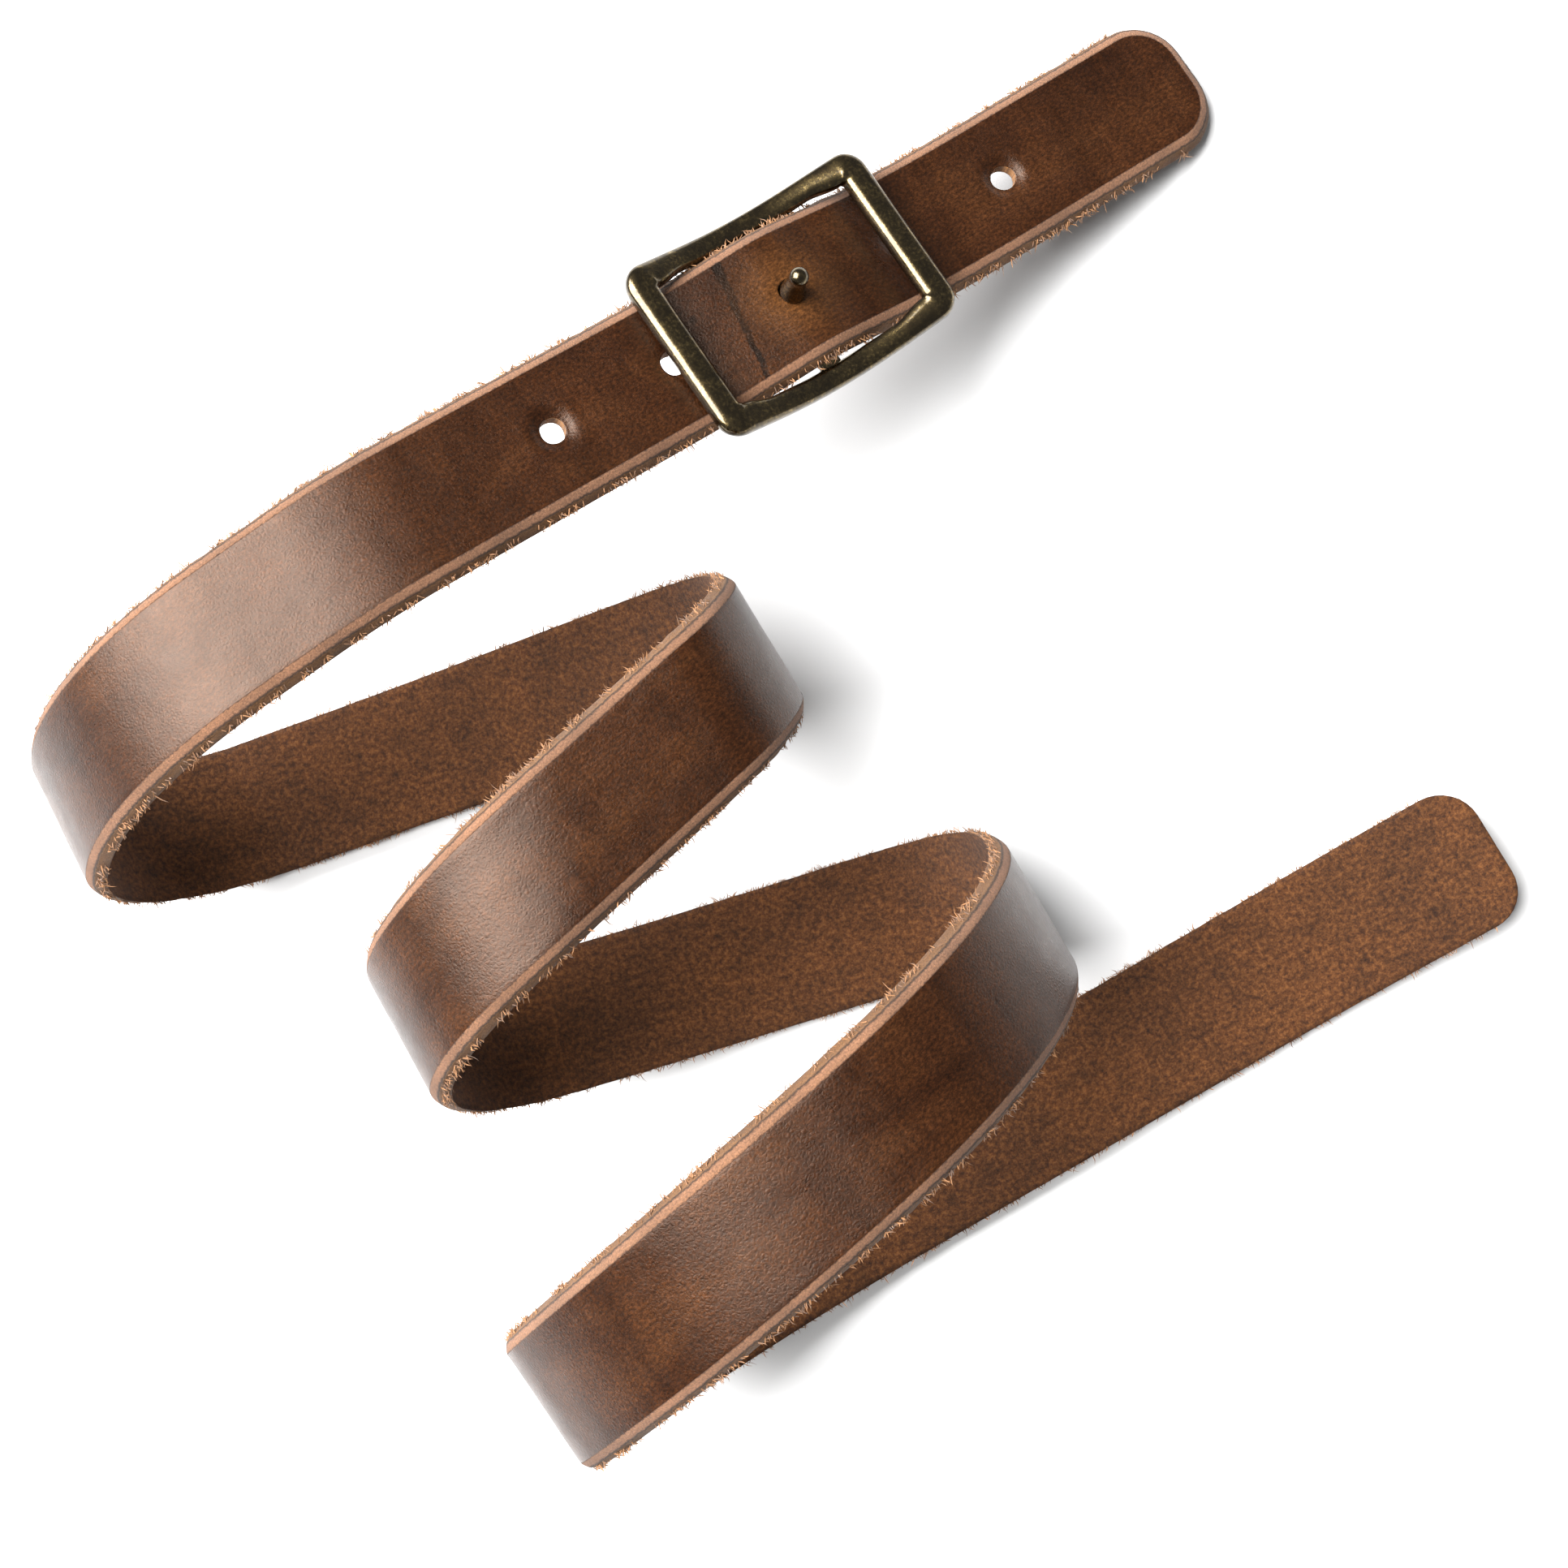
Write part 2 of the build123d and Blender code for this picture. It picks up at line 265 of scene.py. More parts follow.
strip = Strip()
grain = np.zeros((ROWS, COLS), int)
flesh = np.zeros((ROWS, COLS), int)
edges = {1: np.zeros((ROWS, len(EDGE)), int), -1: np.zeros((ROWS, len(EDGE)), int)}
for i, (s, tan) in enumerate(zip(row_s, row_tan)):
    for j in range(COLS):
        v, w = GRAIN_V[j], FLESH_V[j]
        swell = 0.10 * rough(s, v, 17, 1) + 0.05 * rough(s, v, 6, 2)
        grain[i, j] = strip.add(s + v * tan, v, HALF_T + swell * smooth((13.2 - abs(v)) / 3), i)
        flesh[i, j] = strip.add(s + w * tan, w, -HALF_T + 0.06 + 0.07 * rough(s, w, 5, 3), i)
    for side in (1, -1):
        for k, (inset, n) in enumerate(EDGE):
            wall = smooth((k - 3) / 3)
            ragged = wall * (0.20 * rough(s, n, 2.2, 5 + side) + 0.14 * rough(s, n * 3, 6, 9 + side))
            v = side * (HALF_W - inset - 0.12 * wall + ragged)
            edges[side][i, k] = strip.add(s + v * tan, v, n, i)


OTHER_SIDE = 4000                      # mm that the second edge's texture is shifted by


def uv_of(ids, q=None, shift=0.0):
    """Texture places in cm: along the strap, and across it or down its edge."""
    return [((strip.flat[a][0] + shift) / 10, (strip.flat[a][1] if q is None else q[m]) / 10)
            for m, a in enumerate(ids)]


windows = []
for h in HOLES:
    lo = int(np.argmin(abs(row_s - (h - PATCH))))
    hi = int(np.argmin(abs(row_s - (h + PATCH))))
    windows.append((h, lo, hi))


def in_window(i, j):
    return any(lo <= i < hi and WINDOW[0] <= j < WINDOW[-1] for _, lo, hi in windows)


for i in range(ROWS - 1):
    for j in range(COLS - 1):
        if in_window(i, j):
            continue
        a = [grain[i, j], grain[i, j + 1], grain[i + 1, j + 1], grain[i + 1, j]]
        strip.quad(a, 0, uv_of(a))
        b = [flesh[i, j], flesh[i + 1, j], flesh[i + 1, j + 1], flesh[i, j + 1]]
        strip.quad(b, 2, uv_of(b))
    for side in (1, -1):
        col = COLS - 1 if side > 0 else 0
        lines = [grain[:, col], *edges[side].T, flesh[:, col]]
        for k in range(len(lines) - 1):
            a = [lines[k][i], lines[k + 1][i], lines[k + 1][i + 1], lines[k][i + 1]]
            q = [EDGE_DEPTH[k], EDGE_DEPTH[k + 1], EDGE_DEPTH[k + 1], EDGE_DEPTH[k]]
            if side < 0:
                a, q = a[::-1], q[::-1]
            strip.quad(a, 1, uv_of(a, q, OTHER_SIDE if side < 0 else 0))


# ---- punched holes ---------------------------------------------------------------------------------
def ring_of(table, lo, hi):
    j0, j1 = WINDOW[0], WINDOW[-1]
    return ([table[lo, j] for j in range(j0, j1)] + [table[i, j1] for i in range(lo, hi)]
            + [table[hi, j] for j in range(j1, j0, -1)] + [table[i, j0] for i in range(hi, lo, -1)])


for number, (h, lo, hi) in enumerate(windows):
    worn = number in (0, 4)                        # the two free holes have been used
    rims = {}
    for table, top in ((grain, True), (flesh, False)):
        loop = ring_of(table, lo, hi)
        angle = [math.atan2(strip.flat[a][1], strip.flat[a][0] - h) for a in loop]
        levels = [0.62, 0.40, 0.25, 0.14, 0.06, 0.0]
        previous = loop
        for level in levels:
            ring = []
            for a, g in zip(loop, angle):
                u, v, n = strip.flat[a]
                squeeze = 1 + 0.05 * math.cos(2 * g + number)
                cu, cv = h + HOLE_R * squeeze * math.cos(g), HOLE_R * math.sin(g)
                pu, pv = cu + (u - cu) * level, cv + (v - cv) * level
                r = math.hypot(pu - h, pv) - HOLE_R
                if top:
                    sink = (0.85 if worn else 0.35) * math.exp(-(max(r, 0) / 1.5) ** 2)
                    lip = 0.16 * math.exp(-((r - 3.0) / 1.0) ** 2) if worn else 0.0
                    n = HALF_T + (n - HALF_T) * level - sink + lip
                else:
                    n = -HALF_T + (n + HALF_T) * level
                ring.append(strip.add(pu, pv, n, strip.row[a]))
            for m in range(len(loop)):
                q = (m + 1) % len(loop)
                ids = [previous[m], previous[q], ring[q], ring[m]]
                ids = ids if top else ids[::-1]
                strip.quad(ids, 0 if top else 2, uv_of(ids))
            previous = ring
        rims[top] = previous
    walls = [rims[True]]
    for t in (0.12, 0.5, 0.88):
        ring = []
        for m, (a, b) in enumerate(zip(rims[True], rims[False])):
            ua, va, na = strip.flat[a]
            nb = strip.flat[b][2]
            grow = 1 + 0.10 * rough(m * 2.0, t * 3, 3, 20 + number)
            ring.append(strip.add(h + (ua - h) * grow, va * grow, na + (nb - na) * t, strip.row[a]))
        walls.append(ring)
    walls.append(rims[False])
    for w0, w1 in zip(walls, walls[1:]):
        for m in range(len(w0)):
            q = (m + 1) % len(w0)
            ids = [w0[m], w0[q], w1[q], w1[m]]
            strip.quad(ids, 1, [(m * 0.05 + 700, 0.3)] * 4)


# ---- rounded ends ------------------------------------------------------------------------------------
def round_end(row, end_u, sign, radius, corner_steps):
    """Closes the strap at a rounded end. sign is +1 where the body lies at larger u."""
    flat_steps = COLS - 1 - 2 * corner_steps

    def outline(inset, j):
        """A point of the end's outline, moved in by inset, from v negative to positive."""
        r, c = radius - inset, HALF_W - radius
        if j <= corner_steps:
            g = j / corner_steps * math.pi / 2
            return end_u + sign * (radius - r * math.sin(g)), -c - r * math.cos(g)
        if j >= COLS - 1 - corner_steps:
            g = (COLS - 1 - j) / corner_steps * math.pi / 2
            return end_u + sign * (radius - r * math.sin(g)), c + r * math.cos(g)
        return end_u + sign * inset, -c + 2 * c * (j - corner_steps) / flat_steps

    def fan(table, inset, base, kind):
        """Fills a face between its last row and the end's outline. Returns the outline."""
        previous, steps = list(table[row]), 7
        for t in range(1, steps + 1):
            line = []
            for j in range(COLS):
                u0, v0, n0 = strip.flat[table[row, j]]
                u1, v1 = outline(inset, j)
                share = t / steps
                if j in (0, COLS - 1):
                    line.append(table[row, j])
                    continue
                u, v = u0 + (u1 - u0) * share, v0 + (v1 - v0) * share
                n = base + (n0 - base) * (1 - share)
                line.append(strip.add(u, v, n, row))
            for j in range(COLS - 1):
                ids = [previous[j], previous[j + 1], line[j + 1], line[j]]
                if (kind == 0) == (sign > 0):
                    ids = ids[::-1]
                ids = list(dict.fromkeys(ids))
                strip.quad(ids, kind, uv_of(ids))
            previous = line
        return previous

    top = fan(grain, GRAIN_INSET, HALF_T, 0)
    low = fan(flesh, FLESH_INSET, -HALF_T + 0.03, 2)
    lines = [top]
    for k, (inset, n) in enumerate(EDGE):
        line = []
        for j in range(COLS):
            if j in (0, COLS - 1):
                line.append(edges[-1 if j == 0 else 1][row, k])
                continue
            wall = smooth((k - 3) / 3)
            u, v = outline(inset + 0.12 * wall - 0.12 * wall * rough(j * 1.9, n, 2.2, 30), j)
            line.append(strip.add(u, v, n, row))
        lines.append(line)
    lines.append(low)
    for k in range(len(lines) - 1):
        for j in range(COLS - 1):
            ids = [lines[k][j], lines[k][j + 1], lines[k + 1][j + 1], lines[k + 1][j]]
            qs = [EDGE_DEPTH[k], EDGE_DEPTH[k], EDGE_DEPTH[k + 1], EDGE_DEPTH[k + 1]]
            us = [j, j + 1, j + 1, j]
            uvs = [(end_u / 10 + 0.17 * a + 900, q / 10) for a, q in zip(us, qs)]
            if sign > 0:
                ids, uvs = ids[::-1], uvs[::-1]
            strip.quad(ids, 1, uvs)


round_end(0, 0.0, 1, TIP_R, 9)
round_end(ROWS - 1, LENGTH, -1, TAIL_R, 8)

# ---- the whole strap's points and smooth normals, before it is cut into pieces ----------------------
flat = np.array(strip.flat)
world = place(flat[:, 0], flat[:, 1], flat[:, 2])
strip_row = np.array(strip.row)
whole = bpy.data.meshes.new("whole")
whole.from_pydata(world.tolist(), [], strip.faces)
whole.validate()
whole.update()
normals = np.zeros(len(whole.vertices) * 3)
whole.vertices.foreach_get("normal", normals)
normals = normals.reshape(-1, 3)
bpy.data.meshes.remove(whole)

# ---- where the strap is cut into pieces ---------------------------------------------------------------
BODIES = ["buckle_end", "lower_strand_1", "upper_strand_2", "lower_strand_2", "upper_strand_3",
          "tail_end"]
JOINTS = ["left_bend_1", "right_bend_1", "left_bend_2", "right_bend_2", "left_bend_3"]
CAD_NODES = ["strap_1_buckle_end", "strap_2_lower", "strap_3_upper", "strap_4_lower",
             "strap_5_upper", "strap_6_tail_end"]
joint_of = {j["name"]: j for j in frame["joints"]}
corner_v = np.array([HALF_W, HALF_W, -HALF_W, -HALF_W])      # the strap's section
corner_n = np.array([HALF_T, -HALF_T, HALF_T, -HALF_T])
BEND_HALF = 62.0                                    # degrees of each bend, each way, that go into its bend piece


def section(i):
    """The strap's four corners at row i, in metres."""
    at, _, out, _, crease = frames(np.full(4, row_s[i]))
    return (at + crease * corner_v[:, None] + out * corner_n[:, None]) * MM


cuts = []                  # (first row, last row, parent end, child end) of each bend
for name, s in zip(JOINTS, HINGE_S):
    joint = joint_of[name]
    pivot, axis = np.array(joint["pos_m"]), unit(joint["axis"])
    here = int(np.argmin(abs(row_s - s)))
    _, along, out, _, _ = (x[0] for x in frames(np.array([row_s[here]])))

    def square(d):
        """A direction made square to the hinge's axis."""
        return unit(d - axis * (d @ axis))

    to_tail = square(along)

    def swing(i):
        """Degrees that the strap has turned between the hinge and row i."""
        o = frames(np.array([row_s[i]]))[2][0]
        return math.degrees(math.acos(max(-1, min(1, float(square(o) @ square(out))))))

    low, high = here, here
    while swing(low) < BEND_HALF:
        low -= 1
    while swing(high) < BEND_HALF:
        high += 1
    child_end = max((section(low) - pivot) @ to_tail)
    parent_end = min((section(high) - pivot) @ to_tail)
    cuts.append((low, high, pivot + to_tail * parent_end, pivot + to_tail * child_end))


# ---- materials ------------------------------------------------------------------------------------------
class Shader:
    """A short way to write a node material."""

    def __init__(self, name):
        self.mat = bpy.data.materials.new(name)
        self.mat.use_nodes = True
        self.tree = self.mat.node_tree
        self.bsdf = next(n for n in self.tree.nodes if n.type == "BSDF_PRINCIPLED")

    def node(self, kind, **values):
        made = self.tree.nodes.new(kind)
        for key, value in values.items():
            setattr(made, key, value)
        return made

    def link(self, a, b):
        self.tree.links.new(a, b)

    def set(self, **values):
        for key, value in values.items():
            self.bsdf.inputs[key.replace("_", " ")].default_value = value

    def uv(self, scale=(1, 1, 1), offset=(0, 0, 0)):
        """The strap's flat coordinates in cm, scaled."""
        made = self.node("ShaderNodeMapping")
        made.inputs["Scale"].default_value = scale
        made.inputs["Location"].default_value = offset
        self.link(self.node("ShaderNodeUVMap", uv_map="flat").outputs["UV"], made.inputs["Vector"])
        return made.outputs["Vector"]

    def noise(self, vector, scale, detail=3.0, rough=0.5, distortion=0.0):
        made = self.node("ShaderNodeTexNoise")
        made.inputs["Scale"].default_value = scale
        made.inputs["Detail"].default_value = detail
        made.inputs["Roughness"].default_value = rough
        made.inputs["Distortion"].default_value = distortion
        self.link(vector, made.inputs["Vector"])
        return made.outputs["Fac"]

    def cells(self, vector, scale):
        made = self.node("ShaderNodeTexVoronoi", feature="DISTANCE_TO_EDGE")
        made.inputs["Scale"].default_value = scale
        self.link(vector, made.inputs["Vector"])
        return made.outputs["Distance"]

    def ramp(self, value, *stops):
        """stops are (place, colour or grey)."""
        made = self.node("ShaderNodeValToRGB")
        elements = made.color_ramp.elements
        while len(elements) < len(stops):
            elements.new(0.5)
        for element, (at, colour) in zip(elements, stops):
            element.position = at
            element.color = (*colour, 1) if hasattr(colour, "__len__") else (colour,) * 3 + (1,)
        self.link(value, made.inputs["Fac"])
        return made.outputs["Color"]

    def math(self, how, a, b=0.0, clamp=False):
        made = self.node("ShaderNodeMath", operation=how, use_clamp=clamp)
        for socket, value in zip(made.inputs, (a, b)):
            if isinstance(value, (int, float)):
                socket.default_value = value
            else:
                self.link(value, socket)
        return made.outputs[0]

    def mix(self, share, a, b, how="MIX"):
        made = self.node("ShaderNodeMix", data_type="RGBA", blend_type=how)
        for socket, value in ((made.inputs[0], share), (made.inputs[6], a), (made.inputs[7], b)):
            if isinstance(value, (int, float)):
                socket.default_value = value
            elif isinstance(value, tuple):
                socket.default_value = (*value, 1)
            else:
                self.link(value, socket)
        return made.outputs[2]

    def bump(self, *layers):
        """layers are (height socket, strength, distance in m)."""
        last = None
        for height, strength, distance in layers:
            made = self.node("ShaderNodeBump")
            made.inputs["Strength"].default_value = strength
            made.inputs["Distance"].default_value = distance
            self.link(height, made.inputs["Height"])
            if last is not None:
                self.link(last, made.inputs["Normal"])
            last = made.outputs["Normal"]
        self.link(last, self.bsdf.inputs["Normal"])

    def split(self, vector):
        made = self.node("ShaderNodeSeparateXYZ")
        self.link(vector, made.inputs[0])
        return made.outputs[0], made.outputs[1]


def grain_leather():
    m = Shader("grain_leather")
    flat_cm = m.uv()
    cloud = m.noise(m.uv((0.55, 1.3, 1), (3, 8, 0)), 0.55, 5, 0.6, 0.4)
    cross = m.noise(m.uv((1.5, 0.35, 1), (9, 1, 0)), 0.8, 4, 0.6, 0.5)
    fine = m.noise(m.uv((0.8, 1.2, 1)), 13, 6, 0.8)
    base = m.ramp(cloud, (0.30, (0.0230, 0.0068, 0.0019)), (0.50, (0.0360, 0.0112, 0.0032)),
                  (0.72, (0.0580, 0.0200, 0.0060)))
    bands = m.ramp(cross, (0.34, (0.62, 0.58, 0.54)), (0.50, (1.0, 1.0, 1.0)),
                   (0.68, (1.28, 1.30, 1.32)))
    base = m.mix(0.8, base, bands, "MULTIPLY")
    speck = m.ramp(fine, (0.36, 0.22), (0.50, 0.90), (0.63, 2.1))
    base = m.mix(0.9, base, speck, "MULTIPLY")
    pores = m.ramp(m.noise(m.uv((1, 1, 1), (5, 5, 2)), 5.5, 3, 0.6), (0.22, 0.25), (0.34, 1.0))
    base = m.mix(0.65, base, pores, "MULTIPLY")
    # painted crease shade: a dark line painted across the strap beside the stud, where a crease's shade
    # falls
    u, v = m.split(flat_cm)                            # u is cm from the tip
    wander = m.noise(m.uv((1, 1, 1)), 2.2, 4, 0.7)
    off = m.math("SUBTRACT", u, (STUD_S + 12.3) / 10)
    off = m.math("ADD", off, m.math("MULTIPLY", v, -0.17))
    off = m.math("ADD", off, m.math("MULTIPLY", m.math("SUBTRACT", wander, 0.5), 0.22))
    thick = m.math("ADD", 0.10, m.math("MULTIPLY", m.math("MAXIMUM", m.math("MULTIPLY", v, -1.0),
                                                           0.0), 0.05))
    line = m.ramp(m.math("DIVIDE", m.math("ABSOLUTE", off), thick), (0.55, 0.10), (0.85, 1.0))
    # line is the painted crease shade, multiplied in darker
    base = m.mix(m.ramp(m.noise(m.uv((1, 1, 1), (0, 3, 4)), 4, 3, 0.6), (0.35, 0.55), (0.5, 1.0)),
                 base, line, "MULTIPLY")
    # a dark spot near the buckle's tail-side bar
    spot_u = m.math("SUBTRACT", u, (STUD_S + 20.7) / 10)
    spot_v = m.math("ADD", v, 0.55)
    spot = m.math("SQRT", m.math("ADD", m.math("MULTIPLY", spot_u, spot_u),
                                 m.math("MULTIPLY", spot_v, spot_v)))
    base = m.mix(0.9, base, m.ramp(spot, (0.05, 0.2), (0.11, 1.0)), "MULTIPLY")
    # painted highlight round the stud, where the strap bulges over the centre bar, together with lighter
    # stretched leather
    du = m.math("SUBTRACT", u, STUD_S / 10)
    reach = m.math("SQRT", m.math("ADD", m.math("MULTIPLY", du, du), m.math("MULTIPLY", v, v)))
    reach = m.math("ADD", reach, m.math("MULTIPLY", m.math("SUBTRACT", cloud, 0.5), 0.6))
    stretch_and_highlight = m.ramp(m.math("DIVIDE", reach, 1.8), (0.10, 1.0), (0.34, 0.60), (0.62, 0.16), (0.85, 0.0))
    stretch_and_highlight_tone = m.mix(0.8, (0.135, 0.052, 0.0145), speck, "MULTIPLY")
    # mixes in the painted highlight and the lighter stretched leather round the stud
    base = m.mix(m.math("MULTIPLY", stretch_and_highlight, 0.72), base, stretch_and_highlight_tone)
    # painted shade: the strap is painted darker under the buckle's bars and beside them, where the bars'
    # shadow falls
    bar_shade = m.ramp(m.math("DIVIDE", m.math("ABSOLUTE", du), 4.0), (0.40, 1.0), (0.55, 0.62),
                  (0.62, 0.50), (0.80, 0.80), (0.95, 1.0))
    # multiplies in the painted shade of the bars
    base = m.mix(0.9, base, bar_shade, "MULTIPLY")
    m.link(m.mix(1.0, base, (0.60, 0.60, 0.60), "MULTIPLY"), m.bsdf.inputs["Base Color"])
    gloss = m.ramp(m.noise(flat_cm, 2.2, 4, 0.6), (0.3, 0.26), (0.7, 0.34))
    m.link(gloss, m.bsdf.inputs["Roughness"])
    m.set(Specular_IOR_Level=0.30, Specular_Tint=(1.0, 0.76, 0.62, 1))
    m.bump((m.cells(m.uv((1, 1, 1)), 12), 0.5, 0.00013), (fine, 0.5, 0.00013),
           (m.noise(m.uv((0.5, 1, 1)), 2.6, 3), 0.25, 0.0003))
    return m.mat


def edge_leather():
    m = Shader("edge_leather")
    u, q = m.split(m.uv())
    ragged = m.noise(m.uv((1, 0.4, 1)), 9, 4, 0.7)
    down = m.math("ADD", q, m.math("MULTIPLY", m.math("SUBTRACT", ragged, 0.5), 0.12))
    colour = m.ramp(down, (0.00, (0.060, 0.022, 0.008)), (0.03, (0.300, 0.140, 0.068)),
                    (0.16, (0.330, 0.155, 0.078)), (0.205, (0.032, 0.013, 0.005)),
                    (0.25, (0.250, 0.110, 0.033)), (0.40, (0.200, 0.085, 0.024)))
    dirt = m.ramp(m.noise(m.uv((1, 1, 1), (2, 7, 0)), 22, 5, 0.8), (0.30, 0.22), (0.50, 0.95),
                  (0.70, 1.75))
    colour = m.mix(0.85, colour, dirt, "MULTIPLY")
    broad = m.ramp(m.noise(m.uv((1, 1, 1), (4, 2, 0)), 0.8, 3), (0.3, 0.65), (0.7, 1.2))
    colour = m.mix(0.8, colour, broad, "MULTIPLY")
    m.link(m.mix(1.0, colour, (0.64, 0.64, 0.64), "MULTIPLY"), m.bsdf.inputs["Base Color"])
    m.set(Roughness=0.72, Sheen_Weight=0.05, Sheen_Roughness=0.5, Specular_IOR_Level=0.3)
    m.bump((m.noise(m.uv((1, 1.4, 1)), 20, 5, 0.8), 0.9, 0.0006))
    return m.mat


def flesh_leather():
    m = Shader("flesh_leather")
    flat_cm = m.uv()
    fuzz = m.noise(flat_cm, 9, 6, 0.8)
    clump = m.noise(m.uv((0.8, 1, 1), (1, 4, 0)), 2.4, 5, 0.7)
    base = m.ramp(fuzz, (0.34, (0.022, 0.0066, 0.0014)), (0.48, (0.088, 0.0325, 0.0090)),
                  (0.62, (0.200, 0.084, 0.0270)))
    stain = m.ramp(clump, (0.30, 0.42), (0.52, 1.0), (0.75, 1.2))
    base = m.mix(0.75, base, stain, "MULTIPLY")
    flecks = m.ramp(m.noise(m.uv((0.7, 1.2, 1), (8, 2, 5)), 5.0, 4, 0.7), (0.26, 0.2), (0.36, 1.0))
    base = m.mix(0.7, base, flecks, "MULTIPLY")
    broad = m.ramp(m.noise(m.uv((1, 1, 1), (6, 3, 0)), 0.35, 3), (0.35, 0.72), (0.65, 1.14))
    base = m.mix(0.8, base, broad, "MULTIPLY")
    m.link(m.mix(1.0, base, (0.70, 0.62, 0.50), "MULTIPLY"), m.bsdf.inputs["Base Color"])
    m.set(Roughness=0.88, Sheen_Weight=0.05, Sheen_Roughness=0.55, Specular_IOR_Level=0.15)
    m.bump((fuzz, 0.9, 0.0007), (m.noise(flat_cm, 30, 4, 0.7), 0.6, 0.0003))
    return m.mat


def fibre_leather():
    m = Shader("leather_fibre")
    tone = m.noise(m.uv((1, 1, 1)), 6, 2)
    colour = m.ramp(tone, (0.3, (0.11, 0.044, 0.014)), (0.7, (0.32, 0.150, 0.056)))
    m.link(colour, m.bsdf.inputs["Base Color"])
    m.set(Roughness=0.8, Sheen_Weight=0.3)
    return m.mat


def brass(name):
    m = Shader(name)
    where = m.node("ShaderNodeTexCoord").outputs["Object"]
    mottle = m.noise(where, 1400, 5, 0.75)
    patch = m.noise(where, 190, 4, 0.6)
    colour = m.ramp(mottle, (0.34, (0.026, 0.018, 0.008)), (0.52, (0.085, 0.061, 0.025)),
                    (0.70, (0.330, 0.235, 0.095)))
    colour = m.mix(m.ramp(patch, (0.42, 0.0), (0.66, 0.85)), colour, (0.034, 0.024, 0.011))
    m.link(colour, m.bsdf.inputs["Base Color"])
    m.link(m.ramp(mottle, (0.3, 0.30), (0.7, 0.17)), m.bsdf.inputs["Roughness"])
    m.set(Metallic=1.0, Coat_Weight=0.55, Coat_Roughness=0.12)
    m.bump((mottle, 0.22, 0.00010), (patch, 0.12, 0.0003))
    return m.mat


LEATHER = [grain_leather(), edge_leather(), flesh_leather(), fibre_leather()]
BRASS = brass("antique_brass")

# ---- loose fibres on the cut edges -------------------------------------------------------------------
FIBRES_PER_MM = 6.0
THIRDS = (0, 2.094, 4.189)             # a hair's three sides, radians
STRAND_MARGIN = 2.5                    # mm at a cut that are left without fibres


def fibre(u, side, n):
    """One thin curved hair, as points in metres and its faces."""
    base_v = side * (HALF_W - 0.55 - 0.35 * (n - 0.3))
    at, along, out, across, _ = (x[0] for x in frames(np.array([u])))
    root = place(np.array([u]), np.array([base_v]), np.array([n]))[0] / MM
    way = unit(across * side * random.uniform(0.5, 1.0) + along * random.gauss(0, 0.65)
               + out * random.gauss(-0.15, 0.45))
    length = min(2.1, 0.45 + random.expovariate(2.3))
    bend = unit(along * random.gauss(0, 1) + out * random.gauss(0, 1) + across * side * 0.2)
    r = random.uniform(0.07, 0.16)
    a = unit(np.cross(way, bend))
    b = np.cross(way, a)
    middle = root + way * length * 0.55 + bend * length * 0.08
    tip = root + way * length + bend * length * 0.38
    points = [root - way * 0.5 + (a * math.cos(g) + b * math.sin(g)) * r for g in THIRDS]
    points += [middle + (a * math.cos(g) + b * math.sin(g)) * r * 0.8 for g in THIRDS]
    points.append(tip)
    faces = [(2, 1, 0)] + [(i, (i + 1) % 3, (i + 1) % 3 + 3, i + 3) for i in range(3)]
    faces += [(3, 4, 6), (4, 5, 6), (5, 3, 6)]
    return np.array(points) * MM, faces


